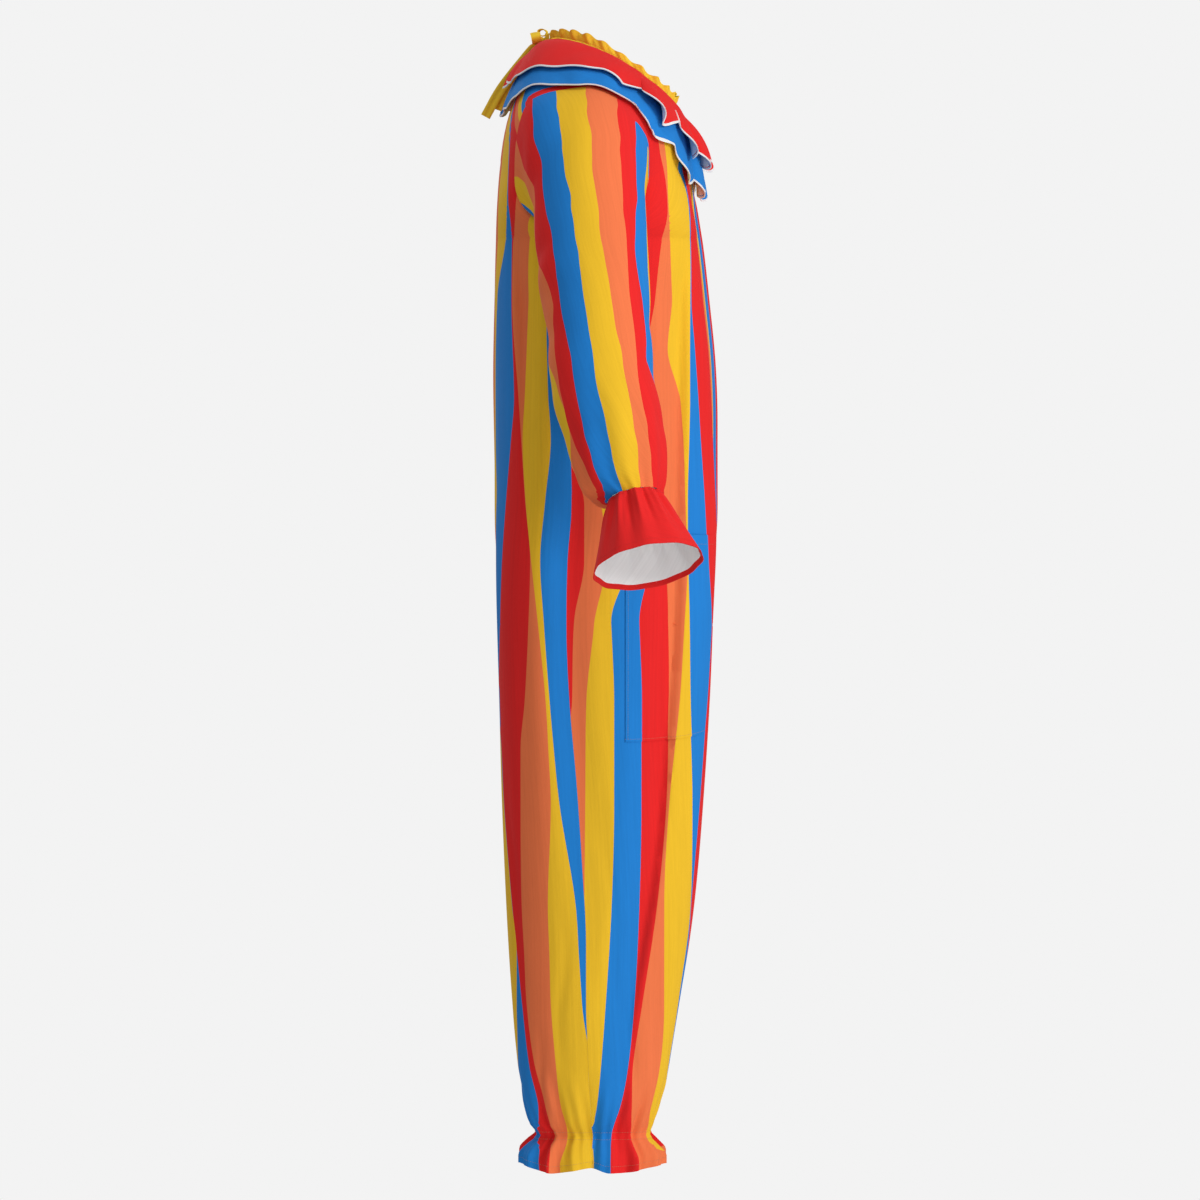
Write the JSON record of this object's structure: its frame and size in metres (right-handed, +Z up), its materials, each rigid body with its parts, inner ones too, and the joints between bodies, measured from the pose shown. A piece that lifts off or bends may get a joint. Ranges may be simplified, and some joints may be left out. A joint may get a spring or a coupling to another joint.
{
  "type": "clown costume",
  "caption": "One-piece clown costume, worn open and hollow: striped long-sleeved suit with gathered ankles, flared cuffs, two-tier round collar, neck ruffle and patch pockets.",
  "frame": {"origin": "on the shoulder line, midway between the armholes, where the wearer's shoulders carry the costume", "axes": "+Z up along the wearer's spine, -Y towards the wearer's front, -X towards the wearer's right"},
  "size_m": [0.986, 0.3079, 1.4892],
  "materials": {
    "striped_cloth": "thin plain-weave polyester, printed with blue, red, orange and yellow stripes, white reverse",
    "red_cloth": "thin plain-weave polyester, red, white reverse",
    "blue_cloth": "thin plain-weave polyester, blue, white reverse",
    "yellow_cloth": "thin plain-weave polyester, yellow",
    "white_binding": "white overlocked edge, matt"
  },
  "bodies": {
    "root": {"front_right": "striped_cloth", "back_right": "striped_cloth", "sleeve_right": "striped_cloth", "cuff_right": "red_cloth", "pocket_right": "striped_cloth", "front_left": "striped_cloth", "back_left": "striped_cloth", "sleeve_left": "striped_cloth", "cuff_left": "red_cloth", "pocket_left": "striped_cloth", "collar_red": "red_cloth", "collar_blue": "blue_cloth", "trim_red": "white_binding", "trim_blue": "white_binding", "neck_ruffle": "yellow_cloth", "tie_knot": "yellow_cloth", "tie_loop_right": "yellow_cloth", "tie_loop_left": "yellow_cloth", "tie_tail_right": "yellow_cloth", "tie_tail_left": "yellow_cloth", "seam_ribbon_right": "yellow_cloth", "seam_ribbon_left": "yellow_cloth"}
  },
  "joints": []
}
